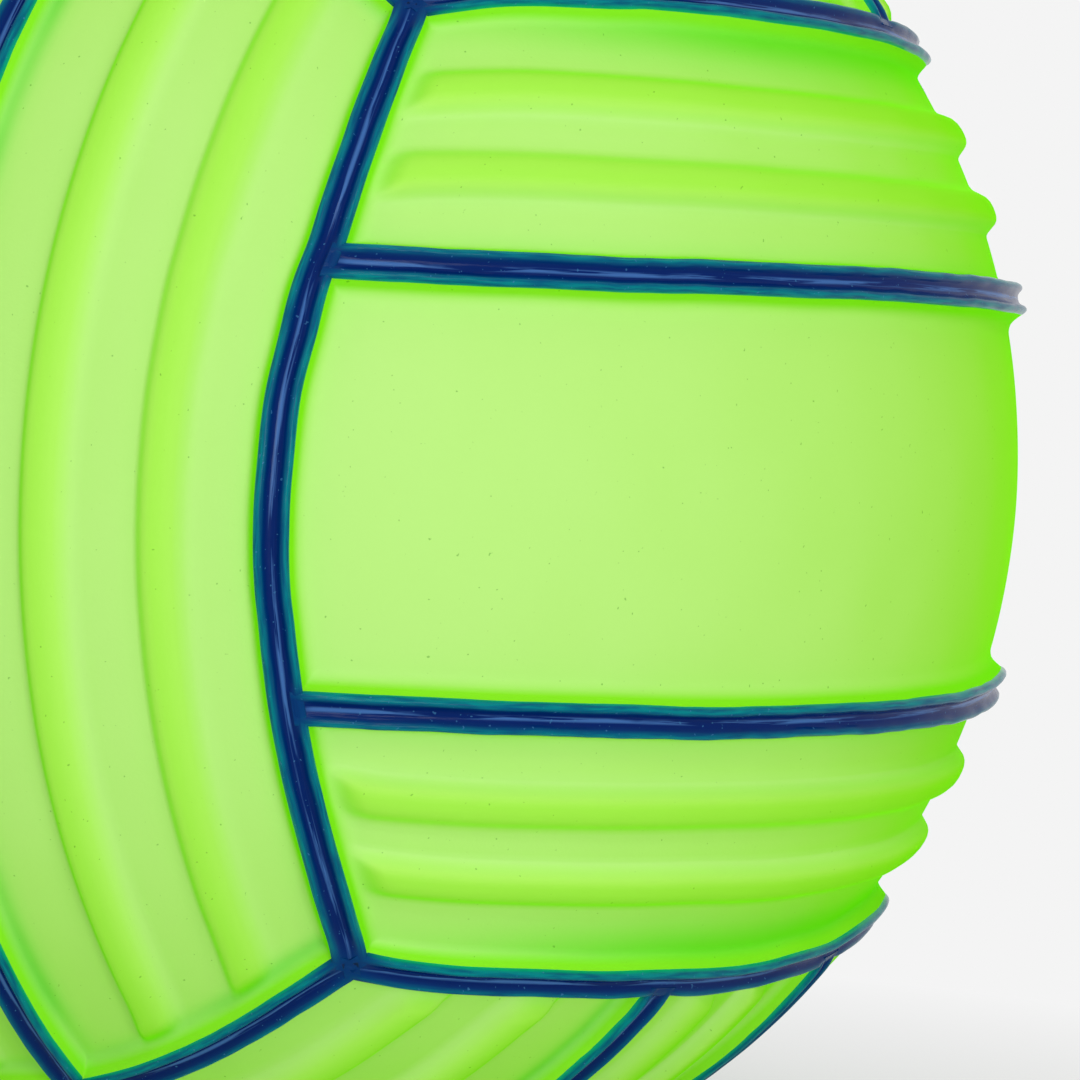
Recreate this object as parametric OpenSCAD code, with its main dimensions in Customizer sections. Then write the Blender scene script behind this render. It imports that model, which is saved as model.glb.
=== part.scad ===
// Water polo ball: eighteen ribbed cover panels and raised seam strips on a wound and backed bladder.
// The origin is the centre of the ball. The panels lie in six groups of three, one group on each side.

/* [Ball] */
// Diameter over the plain field of the cover panels
ball_d = 216; // [180:1:240]

/* [Wall] */
// Thickness of a cover panel in its plain field
cover_t = 1.1; // [0.8:0.1:2.5]
// Thickness of the pale backing layer under the panels
backing_t = 0.5; // [0.4:0.1:1.5]
// Thickness of the wound thread layer
winding_t = 0.4; // [0.3:0.1:1.5]
// Thickness of the bladder wall
bladder_t = 0.5; // [0.4:0.1:1.5]
// Bond line between pieces that lie on or beside each other
bond = 0.1; // [0.05:0.01:0.2]

/* [Layout] */
// Degrees by which the circle of an edge seam leans away from the panel group beside it
edge_lean = 6; // [2:0.5:9]
// Latitude of the inner seams in the left and right groups, in degrees from the group's middle line
wide_lat = 15.3; // [12:0.1:18]
// Latitude of the inner seams in the other four groups
narrow_lat = 10.7; // [9:0.1:15]

/* [Seam strips] */
// Width of a seam strip between the panels
strip_w = 4.8; // [4:0.1:6]
// Height of the two lips above the field of the panels
lip_h = 3.2; // [2.8:0.1:4]
// Distance between the crests of the two lips
lip_spacing = 3.5; // [3.2:0.05:3.6]
// Radius of the round outside of a lip
lip_r = 0.6; // [0.5:0.02:0.62]
// Depth of the groove between the lips
groove_depth = 1; // [0.7:0.05:1.3]

/* [Panel rims] */
// Height that a panel's rim rises beside a seam strip
rim_h = 2.1; // [1.2:0.1:2.4]
// Width of the slope from the rim down to the field
rim_run = 2.1; // [1.6:0.1:3]
// Step between the wall of a panel and its rim
rim_inset = 0.1; // [0.05:0.05:0.3]

/* [Grip ribs] */
// Height of a grip rib above the field
rib_h = 2.1; // [1:0.1:2.6]
// Width of a grip rib at its foot
rib_w = 6; // [4:0.1:7]
// Distance from the end of a grip rib to the middle of the seam there
rib_end_gap = 6.2; // [5:0.1:12]

/* [Valve] */
// Diameter of the needle hole in the valve core
needle_d = 2.2; // [2:0.1:2.6]
// Depth of the needle hole down to the closed slit
needle_depth = 9; // [6:0.5:12]
// Thickness of the closed slit end under the needle hole
slit_t = 2; // [1:0.1:3]
// Diameter of the valve core in its housing
core_d = 5.2; // [4.6:0.1:6]
// Diameter of the valve core's head
core_head_d = 6.8; // [6.4:0.1:7.2]
// Thickness of the valve core's head
core_head_t = 1; // [0.8:0.1:1.4]
// Diameter of the valve housing's neck
neck_d = 9; // [8.4:0.1:12]
// Diameter of the flange inside the bladder
flange_d = 22; // [18:0.5:30]
// Thickness of the flange
flange_t = 1.2; // [0.8:0.1:2]
// Length of the housing's tail inside the bladder
tail_l = 9; // [8:0.5:14]

/* [Hidden] */
$fn = 96;
overrun = 1;
ball_r = ball_d / 2;
cover_in_r = ball_r - cover_t;
backing_r = cover_in_r - bond;
backing_in_r = backing_r - backing_t;
winding_r = backing_in_r - bond;
winding_in_r = winding_r - winding_t;
bladder_r = winding_in_r - bond;
bladder_in_r = bladder_r - bladder_t;

// Distance from the middle of a seam to the panels beside it, and to their rims
wall_half = strip_w / 2 + bond;
rim_half = wall_half + rim_inset;

// An edge seam is a circle about a leaning axis. It runs through two of the eight corners of a cube.
corner_deg = acos(1 / sqrt(3));
corner_axis = [sin(corner_deg) * cos(45), -sin(corner_deg) * sin(45), cos(corner_deg)];
edge_axis = [-sin(edge_lean), 0, cos(edge_lean)];
edge_deg = acos(edge_axis * corner_axis);
edge_reach_deg = atan(1 / (cos(edge_lean) + sin(edge_lean)));
corner_south = [cos(corner_deg) * cos(45), -cos(corner_deg) * sin(45), -sin(corner_deg)];
corner_east = [sin(45), cos(45), 0];
edge_run = cross(edge_axis, corner_axis);
edge_turn_deg = atan2(edge_run * corner_east, edge_run * corner_south);

// Reach of the solids that only cut others
far_r = ball_r + lip_h + overrun;
near_r = ball_r / 2;
near_z = ball_r / 4;
group_half_deg = 45;
group_reach_deg = 62;

// Outline of a rim: shares of its run away from the strip, and shares of its height
rim_shares = [[0, 1], [0.09, 0.9], [0.54, 0.16], [1, -0.13]];
// Share of an end rim's run at which the rims of a middle panel's sides and of an outer seam run into it
rim_meet_share = 0.76;
// Latitude up to which the end rims of an outer panel go, where its outer rim takes over
end_rim_deg = 33.3;
// Reach of an end rim to each side of a middle panel and of an outer panel, before it is trimmed
middle_rim_deg = 30;
outer_rim_deg = 50;
// Outline of a grip rib: shares of its half width, away from the group's middle, and of its height
rib_shares = [[-1, -0.1], [-0.62, 0.7], [-0.5, 0.9], [-0.32, 1], [0.2, 1], [0.42, 0.88], [1, -0.1]];
// Places of the grip ribs across an outer panel, as shares of the way from inner seam to edge seam
wide_rib_shares = [0.29, 0.6];
narrow_rib_shares = [0.36, 0.67];
// Place of the grip ribs on a narrow middle panel, as a share of the way to its inner seam
middle_rib_share = 0.3;

UPPER = 1;
MIDDLE = 0;
LOWER = -1;
// Sides of the ball: name, axis (0 for X, 1 for Y, 2 for Z), turn to the other end of the axis
SIDES = [
    ["right", 0, 0], ["left", 0, 180],
    ["back", 1, 0], ["front", 1, 180],
    ["top", 2, 0], ["bottom", 2, 180]
];
// Names of the lower, middle and upper panel of a group on each axis
ROW_NAMES = [["lower", "middle", "upper"], ["left", "middle", "right"], ["front", "middle", "back"]];
// Edge seams: name, axis that the first seam is carried to, turn of the first seam
EDGES = [
    ["top_right", 0, [0, 0, 0]], ["top_left", 0, [0, 0, 180]],
    ["bottom_right", 0, [180, 0, 0]], ["bottom_left", 0, [0, 180, 0]],
    ["back_right", 1, [0, 0, 0]], ["front_right", 1, [0, 0, 180]],
    ["back_left", 1, [180, 0, 0]], ["front_left", 1, [0, 180, 0]],
    ["top_back", 2, [0, 0, 0]], ["bottom_back", 2, [0, 0, 180]],
    ["top_front", 2, [180, 0, 0]], ["bottom_front", 2, [0, 180, 0]]
];

function panel_name(side, row) = str(side[0], "_", ROW_NAMES[side[1]][row + 1], "_panel");
function inner_name(side, row) = str(side[0], "_", ROW_NAMES[side[1]][row + 1], "_inner_strip");
function edge_name(edge) = str(edge[0], "_edge_strip");

// A point of a cross-section: height above the field, at an angle above the turning plane
function on_wall(deg, height) = (ball_r + height) * [cos(deg), sin(deg)];
// Angle, seen from the centre, of a length on the field
function arc_deg(length) = length / ball_r * 180 / PI;
function is_wide(axis) = axis == 0;
function inner_lat(axis) = is_wide(axis) ? wide_lat : narrow_lat;
function outer_lat() = 90 - edge_deg + edge_lean;
function rib_lats(axis, row) =
    row == MIDDLE ? [middle_rib_share * inner_lat(axis)]
    : [for (s = is_wide(axis) ? wide_rib_shares : narrow_rib_shares)
        inner_lat(axis) + s * (outer_lat() - inner_lat(axis))];

// Carries a shape from the X side to the side on another axis, so that X goes to Y, Y to Z and Z to X
module carry(axis) {
    rotate(a = 120 * axis, v = [1, 1, 1]) children();
}

module put_on(side) {
    carry(side[1]) rotate([0, 0, side[2]]) children();
}

// Everything inside a cone about the upward axis that runs a given distance outside a circle on the ball.
// It is turned so that the line where its surface closes stays off the panels.
module inside_circle(circle_deg, off) {
    top_shift = off / sin(circle_deg);
    rotate([0, 0, 180]) translate([0, 0, near_z]) cylinder(
        h = far_r - near_z,
        r1 = (near_z + top_shift) * tan(circle_deg),
        r2 = (far_r + top_shift) * tan(circle_deg)
    );
}

// Cuts a group's shapes at its two ends, a given distance short of the edge seams
module cut_ends(short) {
    intersection() {
        children();
        rotate([0, 0, -edge_lean]) rotate([0, 90, 0]) inside_circle(edge_deg, -short);
        rotate([0, 0, edge_lean]) rotate([0, 90, 0]) inside_circle(edge_deg, -short);
    }
}

module turned_band(half_deg) {
    rotate([0, 0, -half_deg]) rotate_extrude(angle = 2 * half_deg) children();
}

// A point on the line from the centre at one angle, moved sideways by a distance
function beside(deg, r, off) = r * [cos(deg), sin(deg)] + off * [-sin(deg), cos(deg)];

// Cross-section of everything between two latitudes, each moved by a distance
module sector(from_deg, from_off, to_deg, to_off) {
    polygon([
        beside(from_deg, near_r, from_off),
        beside(from_deg, 2 * ball_r, from_off),
        beside(to_deg, 2 * ball_r, to_off),
        beside(to_deg, near_r, to_off)
    ]);
}

// Cross-section of a whole cover without ribs
module wall_ring() {
    difference() {
        rotate(180) circle(ball_r);
        rotate(180) circle(cover_in_r);
    }
}

// Cross-section of a grip rib, steep towards the group's middle and gentler away from it
module rib_section(lat) {
    half_deg = arc_deg(rib_w / 2);
    polygon(concat(
        [on_wall(lat - half_deg, -cover_t / 2)],
        [for (s = rib_shares) on_wall(lat + s[0] * half_deg, s[1] * rib_h)],
        [on_wall(lat + half_deg, -cover_t / 2)]
    ));
}

// Cross-section of a seam strip: a stem between the panels, two lips and a hollow groove
module strip_section(lat) {
    stem_top = lip_h - lip_r;
    groove_half = lip_spacing / 2 - lip_r / 3;
    groove_r = (groove_half * groove_half + groove_depth * groove_depth) / (2 * groove_depth);
    rotate(lat) translate([ball_r, 0]) difference() {
        union() {
            translate([-cover_t, -strip_w / 2]) square([cover_t + stem_top, strip_w]);
            for (way = [-1, 1]) {
                translate([stem_top, way * lip_spacing / 2]) circle(lip_r);
            }
            translate([0, -lip_spacing / 2]) square([lip_h - lip_r / 4, lip_spacing]);
        }
        translate([lip_h - groove_depth + groove_r, 0]) circle(groove_r);
    }
}

// Cross-section of a rim that rises to the seam at a latitude, from the side that way points to
module rim_section(lat, way) {
    polygon(concat(
        [beside(lat, ball_r - cover_t / 2, way * rim_half)],
        [for (s = rim_shares) beside(lat, ball_r + s[1] * rim_h, way * (rim_half + s[0] * rim_run))],
        [beside(lat, ball_r - cover_t / 2, way * (rim_half + rim_run))]
    ));
}

// Rims at the two ends of a group, between two latitudes
module end_rims(half_deg, from_deg, to_deg, to_off) {
    for (end = [0, 1]) {
        mirror([0, end, 0]) intersection() {
            rotate([0, 0, -edge_lean]) rotate([0, 90, 0]) rotate([0, 0, 90]) turned_band(half_deg)
                rim_section(90 - edge_deg, 1);
            turned_band(group_reach_deg) sector(from_deg, rim_half, to_deg, to_off);
        }
    }
}

// Rim along an inner seam, cut where it runs into the end rims
module side_rim(lat, way, meet_share) {
    cut_ends(wall_half + meet_share * rim_run) turned_band(group_reach_deg) rim_section(lat, way);
}

module ribs(axis, row) {
    cut_ends(rib_end_gap) turned_band(group_reach_deg) {
        for (lat = rib_lats(axis, row)) {
            rib_section(lat);
        }
    }
}

// The two middle panels on the X axis are plain; those of the other groups have a rib on each half
module middle_panel_solid(axis) {
    seam_lat = inner_lat(axis);
    union() {
        cut_ends(wall_half) turned_band(group_reach_deg) intersection() {
            wall_ring();
            sector(-seam_lat, wall_half, seam_lat, -wall_half);
        }
        if (!is_wide(axis)) {
            ribs(axis, MIDDLE);
            mirror([0, 0, 1]) ribs(axis, MIDDLE);
        }
        end_rims(middle_rim_deg, -seam_lat, seam_lat, -rim_half);
        side_rim(seam_lat, -1, rim_meet_share);
        side_rim(-seam_lat, 1, rim_meet_share);
    }
}

module outer_panel_solid(axis) {
    seam_lat = inner_lat(axis);
    union() {
        difference() {
            cut_ends(wall_half) turned_band(group_reach_deg) intersection() {
                wall_ring();
                sector(seam_lat, wall_half, group_half_deg, 0);
            }
            rotate([0, -edge_lean, 0]) inside_circle(edge_deg, wall_half);
        }
        ribs(axis, UPPER);
        side_rim(seam_lat, 1, 1);
        end_rims(outer_rim_deg, seam_lat, end_rim_deg, 0);
        cut_ends(wall_half + rim_meet_share * rim_run) rotate([0, -edge_lean, 0]) turned_band(group_reach_deg)
            rim_section(90 - edge_deg, -1);
    }
}

// A plug along the way that the valve takes through the wall, on the left side
module valve_way(d, from_r, to_r) {
    rotate([0, -90, 0]) translate([0, 0, from_r]) cylinder(d = d, h = to_r - from_r);
}

module layer(out_r, in_r) {
    difference() {
        sphere(out_r);
        sphere(in_r);
        valve_way(neck_d + 2 * bond, near_r, far_r);
    }
}

module cover_panel(side, row) {
    color([0.66, 0.94, 0.36]) difference() {
        put_on(side) {
            if (row == MIDDLE) {
                middle_panel_solid(side[1]);
            } else if (row == UPPER) {
                outer_panel_solid(side[1]);
            } else {
                mirror([0, 0, 1]) outer_panel_solid(side[1]);
            }
        }
        if (side[0] == "left" && row == MIDDLE) {
            valve_way(neck_d + 2 * bond, near_r, far_r);
        }
    }
}

module inner_strip(side, row) {
    color([0.05, 0.17, 0.4]) put_on(side) cut_ends(wall_half)
        turned_band(group_reach_deg) strip_section(row * inner_lat(side[1]));
}

// Everything on the seam's side of the two planes that part it from the other two strips at a corner
module corner_wedge() {
    rotate([0, corner_deg, -45]) rotate([0, 0, edge_turn_deg]) translate([bond / 2 / sin(60), 0, 0])
        linear_extrude(height = far_r)
            polygon([[0, 0], 4 * far_r * [cos(60), sin(60)], 4 * far_r * [cos(60), -sin(60)]]);
}

module edge_strip(edge) {
    color([0.04, 0.15, 0.38]) carry(edge[1]) rotate(edge[2]) intersection() {
        rotate([0, -edge_lean, 0]) turned_band(edge_reach_deg + arc_deg(strip_w))
            strip_section(90 - edge_deg);
        corner_wedge();
        mirror([0, 1, 0]) corner_wedge();
    }
}

module backing_layer() {
    color([0.9, 0.93, 0.72]) layer(backing_r, backing_in_r);
}

module thread_winding() {
    color([0.92, 0.92, 0.88]) layer(winding_r, winding_in_r);
}

module bladder() {
    color([0.18, 0.18, 0.18]) layer(bladder_r, bladder_in_r);
}

module valve_housing() {
    flange_r = bladder_in_r - bond;
    tail_r = flange_r - flange_t - tail_l;
    color([0.14, 0.15, 0.16]) difference() {
        union() {
            intersection() {
                sphere(ball_r);
                valve_way(neck_d, tail_r, far_r);
            }
            intersection() {
                difference() {
                    sphere(flange_r);
                    sphere(flange_r - flange_t);
                }
                valve_way(flange_d, near_r, far_r);
            }
        }
        valve_way(core_d + 2 * bond, near_r, far_r);
        valve_way(core_head_d + 2 * bond, ball_r - core_head_t - bond, far_r);
    }
}

module valve_core() {
    color([0.06, 0.2, 0.42]) difference() {
        union() {
            valve_way(core_d, ball_r - needle_depth - slit_t, ball_r - core_head_t / 2);
            valve_way(core_head_d, ball_r - core_head_t, ball_r - bond);
        }
        valve_way(needle_d, ball_r - needle_depth, far_r);
    }
}

bladder();
thread_winding();
backing_layer();
valve_housing();
valve_core();
for (side = SIDES, row = [LOWER, MIDDLE, UPPER]) {
    cover_panel(side, row);
}
for (side = SIDES, row = [LOWER, UPPER]) {
    inner_strip(side, row);
}
for (edge = EDGES) {
    edge_strip(edge);
}
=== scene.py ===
import math

import bpy
import numpy as np
from mathutils import Matrix, Vector


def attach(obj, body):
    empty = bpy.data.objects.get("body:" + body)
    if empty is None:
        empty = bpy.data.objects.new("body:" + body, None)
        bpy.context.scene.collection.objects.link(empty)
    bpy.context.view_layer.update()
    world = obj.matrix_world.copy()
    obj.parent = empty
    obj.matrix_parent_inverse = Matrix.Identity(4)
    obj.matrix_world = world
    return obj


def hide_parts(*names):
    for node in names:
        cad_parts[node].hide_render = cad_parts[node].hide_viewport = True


MM = 0.001

# Sizes in millimetres: the ball over the plain field, the cover's thickness, the panel's hole over the valve
# and how far its cutter stands out. From a seam's middle: the wall of a panel, and the distance that the ends
# and the colours of strips are measured by.
BALL_R = 108
COVER_T = 1.1
VALVE_HOLE_R = 4.6
VALVE_CUT_REACH = 6
VALVE_CUT_STEPS = 48
WALL_HALF = 2.24
STRIP_HALF = 2.16

# Layout, in degrees from the middle line of a group of panels
WIDE_LAT = 15.3
NARROW_LAT = 10.9
# The edge seam's bulge from the edge of a cube, at its middle, and how it changes towards the corners
BULGE = 0.1467
BULGE_CHANGE = -0.0872
# Tables and searches for seams and the ends of panels
EDGE_TABLE_REACH = 1.7
EDGE_TABLE_STEPS = 681
EDGE_STEPS = 801
SOLVE_REACH = math.radians(75)
SOLVE_STEPS = 40
# An inner strip is laid out from this far to each side, and this share of that is left when it is trimmed
INNER_REACH = math.radians(62)
INNER_LENGTH_SHARE = 0.86
# Smooth noise: number of waves, how their pitch varies, largest shift, and the sum that counts as 1
NOISE_WAVES = 7
NOISE_PITCH_SHARES = (0.6, 1.7)
NOISE_TURN = 6.3
NOISE_FULL = 3.2

# Rims of the panels beside the strips: distance from the wall and height. Ends of all panels and sides of the
# middle ones slope gently, and the sides of the outer ones are steep.
RIM = [(0, 2.4), (0.35, 1.6), (0.7, 0.95), (1.1, 0.48), (1.6, 0.2), (2.1, 0.05), (2.6, 0)]
STEEP_RIM = [(0, 2.3), (0.17, 1.85), (0.35, 1.3), (0.52, 0.84), (0.7, 0.5), (0.9, 0.26), (1.1, 0.12),
             (1.6, 0)]
# Rim height at which its colour is full
SLOPE_TOP = 1.2
# Painted shade: a deep green band at the foot of the rims: where it is darkest, its reach, and its strength
FOOT_AT = 1.4
FOOT_REACH = 1.7
FOOT_SHARES = {"wide": 0.1, "narrow": 0.75}
# The painted shade at the feet is weaker at the starting ends of the panels
START_FOOT_SHIFT = 1.6
# Painted shade along the far sides of the wide groups' outer panels, growing with the azimuth
# Reach of the deeper colour along the far sides of the wide groups' outer panels, and where it sets in, in
# degrees
BAND_REACH = 5
BAND_FROM = -50
BAND_RAMP = 42
# Distances from a strip's wall at which the points of a panel's grid lie, and the last one that its sides use
END_OFFSETS = [0, 0.17, 0.35, 0.52, 0.7, 0.9, 1.1, 1.35, 1.6, 2.1, 2.6, 3.2, 4, 5, 6.5, 8.5]
SIDE_OFFSETS_TO = 4.1
# Steps between the grid's other rows, the least gap between two rows, and columns between the ends
ROW_STEP = 1.6
ROW_GAP = 0.7
PANEL_COLUMNS = 76
# Unevenness of the panels: height, period, seed, and the distance over which it sets in. The field lies a
# bit low.
UNEVEN_H = 0.05
UNEVEN_PERIOD = 18
UNEVEN_SEED = 3
UNEVEN_RUN = 4
FIELD_DROP = 0.08
# Grip ribs: distance from the crest's middle, away from the group's middle, and height. The side towards the
# group's middle is steep.
RIB = [(-3.2, 0), (-2.85, 0.12), (-2.5, 0.5), (-2.1, 1.15), (-1.7, 1.76), (-1.3, 2.1), (-0.8, 2.27),
       (-0.2, 2.32), (0.6, 2.3), (1.5, 2.14), (2.3, 1.78), (2.9, 1.25), (3.5, 0.66), (4.1, 0.22), (4.9, 0)]
# Places of the ribs as shares of a panel's width, and the distance between the two on a middle panel
RIB_SHARES = {"wide": [0.315, 0.615], "narrow": [0.37, 0.69]}
MIDDLE_RIB_SHARE = 0.3
# Height at which a rib has its full colour, slope at which a flank counts in full, and the step that it is
# read over
RIB_TOP = 1.7
FLANK_SLOPE = 1.1
FLANK_STEP = 0.25
# Distances from the wall at a panel's end between which the ribs rise
RIB_END_FROM = 0.2
RIB_END_TO = 5

# A strip's cross-section: distance from its middle and height above the panels
STRIP = [(2.32, -0.9), (2.32, 0.4), (2.32, 1.4), (2.3, 2), (2.28, 2.35), (2.2, 2.62), (2.07, 2.86),
         (1.88, 3.07), (1.62, 3.17), (1.36, 3.1), (1.12, 2.86), (0.9, 2.56), (0.65, 2.34), (0.34, 2.22),
         (0, 2.19)]
# Step along a strip
STRIP_STEP = 0.9
# Size and period of a strip's wander from the seam's line, of its finer ripple, of its swell, and of its
# uneven level, which only the parts above a height have
WANDER = 0.1
WANDER_PERIOD = 23
RIPPLE = 0.06
RIPPLE_PERIOD = 7
SWELL = 0.03
SWELL_PERIOD = 15
LEVEL_WAVE = 0.03
LEVEL_PERIOD = 11
LEVEL_FROM = 1
# Heights between which a strip begins to wander
WANDER_FROM = 2.1
WANDER_TO = 2.8
# Where a groove is filled: its width to each side, and the level at strip ends and joints
GROOVE_HALF = 1.55
FILLED_H = 2.72
# Lengths over which a groove opens from the ends of edge strips and of inner strips
CORNER_RAMP = 7
TEE_RAMP = 3.2
# Where the colour of the groove sets in below the lips, and the height at which lift is 1
GROOVE_FROM = 3
GROOVE_RUN = 0.7
LIFT_TOP = 3.2
# The filled blob where an inner strip meets an edge strip: its reach, how abruptly it ends, and where it
# sets in
TEE_REACH = 2.7
TEE_SHARPNESS = 4
TEE_FROM = 0.1
TEE_RUN = 0.9
# Strips run this far past the mitres at the corners, and past the sides of edge strips, into each other
MITRE_OVERLAP = 1.2
TEE_OVERLAP = 1.5
# Edges sharper than this are shaded as edges
SHARP_ANGLE = math.radians(50)
# Faces that tell whether a mesh looks outward, and where on a strip they are taken
FACES_TRIED = 50
PROBE_ROW = 4
PROBE_COLUMN = 6

# How far seams and ribs of the photographed ball lie off the regular layout, in degrees: northward shifts
# over the right group by latitude and azimuth, and eastward shifts of its left seam by latitude
DRIFT_AZ = (-64, -46, -32, -18, -5, 9, 20, 28, 40, 56)
DRIFT_NORTH = {
    -52: (0, 0, 0, 0, 0, 0, 0, 0, 0, 0),
    -37: (0, 0.1, 0.05, -0.35, -0.7, 0, 1.5, 3, 1.8, 0),
    -28.5: (0, 0, 0, -0.1, -0.3, 0, 0.5, 1.1, 0.6, 0),
    -21.5: (0, 0, 0, 0, 0, 0.1, 0.3, 0.6, 0.4, 0),
    -15.3: (0, 0.15, 0.05, -0.08, 0.04, 0.22, 0.55, 1.1, 0.6, 0),
    -4: (0, 0, 0, 0, 0, 0, 0, 0.2, 0.1, 0),
    4: (0, 0, 0, 0, 0, 0, 0, 0, 0, 0),
    15.3: (0, -0.45, -0.22, 0.12, 0.34, 0.24, 0.05, -0.15, 0, 0),
    21.5: (0, -0.2, -0.1, 0.05, 0.1, 0.1, 0.1, 0.1, 0, 0),
    28.5: (0, -0.2, 0, 0, 0, 0, 0, 0, 0, 0),
    36.8: (0, -0.9, -0.3, 0.15, 0.1, -0.1, -0.6, -1.2, -0.6, 0),
    50: (0, 0, 0, 0, 0, 0, 0, 0, 0, 0),
}
DRIFT_EAST = {50: 0, 31: 0.5, 19: 0.6, 11: 0.15, 4: -0.2, -4: -0.3, -12: -0.12, -25: -0.1, -40: 0}
# Reaches of a table's places in degrees, the azimuth of the left seam, and the least cosine for an eastward
# shift
DRIFT_REACH_LAT = 3.6
DRIFT_REACH_AZ = 7
DRIFT_EAST_AT = -51
DRIFT_EAST_REACH = 9
DRIFT_MIN_COS = 0.3

# Camera: its place and the point that it looks at in millimetres, its up direction, its lens and sensor in
# millimetres, and the nearest distance that it sees in metres
CAMERA_AT = (455.763, -603.914, 26.448)
CAMERA_AIM = (32.142, 21.144, -10.751)
CAMERA_UP = (-0.07706, 0.00711, 0.997)
LENS = 170.5
SENSOR = 36
CLIP_START = 0.01

# Floor: its level in millimetres, half its side in metres, its grey, and the distances in metres between
# which it turns into the backdrop, of which it already shows a share under the ball
FLOOR_Z = -110.1
FLOOR_HALF = 3
FLOOR_GREY = 0.88
FLOOR_PLAIN_FROM = 0.1
FLOOR_PLAIN_TO = 0.3
FLOOR_NEAR_SHARE = 0.35
BACKDROP_GREY = 0.905
WORLD_STRENGTH = 0.54
# Lamps: place and diameter in metres, and power in watts
LAMPS = {
    "key_lamp": ((0.99, -0.86, 0.92), 0.25, 2.2),
    "front_softbox": ((0.9, -1.4, 0.15), 1.2, 3.4),
    "left_softbox": ((-0.7, -1.1, 0.9), 1.0, 1),
    "low_softbox": ((1.1, -0.8, -0.02), 0.5, 6),
    "top_softbox": ((0.3, 0.4, 1.6), 1.2, 2),
}

# Colours of the panels, as sRGB bytes
FIELD = (199, 240, 176)
FIELD_CLOUD = (195, 239, 167)
SHADE_BAND_GREEN = (106, 228, 44)
RIB_GREEN = (178, 241, 115)
FLANK_PAINTED_LIGHT = (206, 246, 140)
RIM_GREEN = (156, 236, 66)
FOOT_SHADE_GREEN = (96, 214, 76)
PIT_GREEN = (70, 160, 40)
SHEEN_GREEN = (120, 245, 0)
# How much of the colour of the band of painted shade, of the flanks' painted light and of the pits is mixed
# in
BAND_SHARE = 0.85
FLANK_SHARE = 0.35
PIT_SHARE = 0.5
# Tints of the clear skin on field, ribs and flanks; the flanks' paler tint is painted light
TINT_FIELD = (0.9, 1, 0.55, 1)
TINT_RIB = (0.89, 1, 0.5, 1)
TINT_FLANK = (0.95, 1, 0.72, 1)
# Colours of the strips and the thread, as sRGB bytes
NAVY_DARK = (0, 42, 96)
NAVY_LIGHT = (0, 66, 124)
GROOVE_NAVY = (0, 34, 100)
LIP_TEAL = (0, 128, 134)
WALL_TEAL = (10, 178, 116)
# Painted highlight: pale blue glare along the bottom of the grooves
GLARE_HIGHLIGHT_BLUE = (70, 118, 184)
SCUFF_BLUE = (60, 120, 170)
THREAD_SHADE = (205, 200, 180)
THREAD_PALE = (238, 236, 226)
# Turns of the three layers of thread in radians, and how fine and how uneven the thread is
THREAD_TURNS = ((0.3, 0.5, 0), (1.4, -0.2, 0.6), (2.3, 0.9, 0.2))
THREAD_SCALE = 260
THREAD_DISTORTION = 1.5
# Plain rubbers by CAD node: the material's name, its two tones as sRGB bytes, and its roughness
PLAIN_RUBBERS = {
    "bladder": ("butyl_bladder", (46, 46, 48), (34, 34, 36), 0.5),
    "backing_layer": ("pale_backing", (232, 238, 200), (222, 230, 184), 0.6),
    "valve_housing": ("valve_rubber", (40, 42, 44), (28, 30, 32), 0.45),
    "valve_core": ("valve_core_rubber", (12, 50, 104), (8, 38, 84), 0.4),
}
ROUGHNESS_SPREAD = 0.08
# Heights of the materials' bumps, in millimetres
PANEL_GRAIN_H = 0.4
FINE_GRAIN_H = 0.3

# Groups of three panels: outward, along and across directions, kind, and the panels' names
GROUPS = {
    "right": ((1, 0, 0), (0, 1, 0), (0, 0, 1), "wide", ("lower", "middle", "upper")),
    "left": ((-1, 0, 0), (0, -1, 0), (0, 0, 1), "wide", ("lower", "middle", "upper")),
    "back": ((0, 1, 0), (0, 0, 1), (1, 0, 0), "narrow", ("left", "middle", "right")),
    "front": ((0, -1, 0), (0, 0, -1), (1, 0, 0), "narrow", ("left", "middle", "right")),
    "top": ((0, 0, 1), (1, 0, 0), (0, 1, 0), "narrow", ("front", "middle", "back")),
    "bottom": ((0, 0, -1), (-1, 0, 0), (0, 1, 0), "narrow", ("front", "middle", "back")),
}
# Edge seams: the group that the seam runs along, and on which side
EDGES = {
    "top_right": ("right", 1),
    "top_left": ("left", 1),
    "bottom_right": ("right", -1),
    "bottom_left": ("left", -1),
    "back_right": ("back", 1),
    "front_right": ("front", 1),
    "back_left": ("back", -1),
    "front_left": ("front", -1),
    "top_back": ("top", 1),
    "bottom_back": ("bottom", 1),
    "top_front": ("top", -1),
    "bottom_front": ("bottom", -1),
}


# Shape of the seams

def edge_points(shares):
    """Points of an edge seam as (outward, along, across) parts, for shares from corner to corner, -1 to 1."""
    z = np.asarray(shares, float)
    start = np.stack([np.ones_like(z), z, np.ones_like(z)], -1)
    start /= np.linalg.norm(start, axis=-1, keepdims=True)
    side = np.array([1, 0, -1]) / math.sqrt(2)
    bulge = (BULGE + BULGE_CHANGE * z * z) * np.maximum(1 - z * z, 0)
    points = start + bulge[..., None] * side
    return points / np.linalg.norm(points, axis=-1, keepdims=True)


EDGE_TABLE = edge_points(np.linspace(-EDGE_TABLE_REACH, EDGE_TABLE_REACH, EDGE_TABLE_STEPS))
EDGE_AZ = np.arctan2(EDGE_TABLE[:, 1], EDGE_TABLE[:, 0])
EDGE_LAT = np.arcsin(EDGE_TABLE[:, 2])


def edge_lat(az):
    return np.interp(az, EDGE_AZ, EDGE_LAT)


def inner_lat(kind):
    return math.radians(WIDE_LAT if kind == "wide" else NARROW_LAT)


def unit(lat, az):
    """Unit vector as (outward, along, across) parts."""
    return np.stack([np.cos(lat) * np.cos(az), np.cos(lat) * np.sin(az), np.sin(lat)], -1)


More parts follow.
